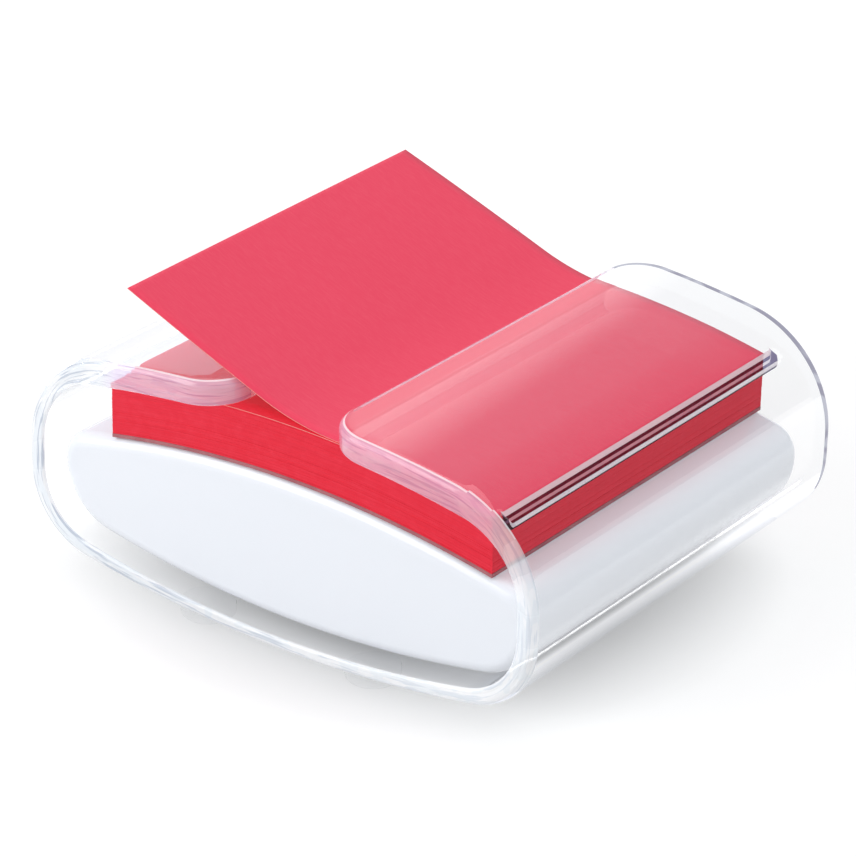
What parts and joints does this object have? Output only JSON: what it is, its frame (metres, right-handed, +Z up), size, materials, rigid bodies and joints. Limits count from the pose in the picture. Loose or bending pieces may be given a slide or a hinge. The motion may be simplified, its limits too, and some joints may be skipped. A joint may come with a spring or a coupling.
{
  "type": "sticky note dispenser",
  "caption": "Clear slotted sleeve holding a weighted white base that slides out and carries a pad of coral notes, with the top note standing out through the slot.",
  "frame": {"origin": "under the middle of the sleeve, on the surface the feet stand on", "axes": "+Z up, X across the slot, -Y the front mouth that the base slides out of"},
  "size_m": [0.1008, 0.0856, 0.0537],
  "materials": {
    "clear_plastic": "gloss",
    "clear_rubber": "satin",
    "white_plastic": "satin",
    "ballast_steel": "plain",
    "screw_steel": "plated",
    "card": "matte",
    "note_paper": "matte"
  },
  "bodies": {
    "sleeve": {"clear_sleeve": "clear_plastic", "foot_front_left": "clear_rubber", "foot_front_right": "clear_rubber", "foot_back_left": "clear_rubber", "foot_back_right": "clear_rubber"},
    "base": {"base_shell": "white_plastic", "base_cover": "white_plastic", "ballast_lower": "ballast_steel", "ballast_upper": "ballast_steel", "cover_screws": "screw_steel", "backing_card": "card", "note_stack": "note_paper", "next_note": "note_paper", "note_tail": "note_paper"},
    "note": {"popped_note": "note_paper"}
  },
  "joints": [
    {"name": "base_slide", "type": "slide", "parent": "sleeve", "child": "base", "axis": [0, -1, 0], "range_m": [-0.08, 0.08]},
    {"name": "note_pull", "type": "slide", "parent": "base", "child": "note", "axis": [-0.9291, 0, 0.3698], "range_m": [0, 0.03]}
  ]
}
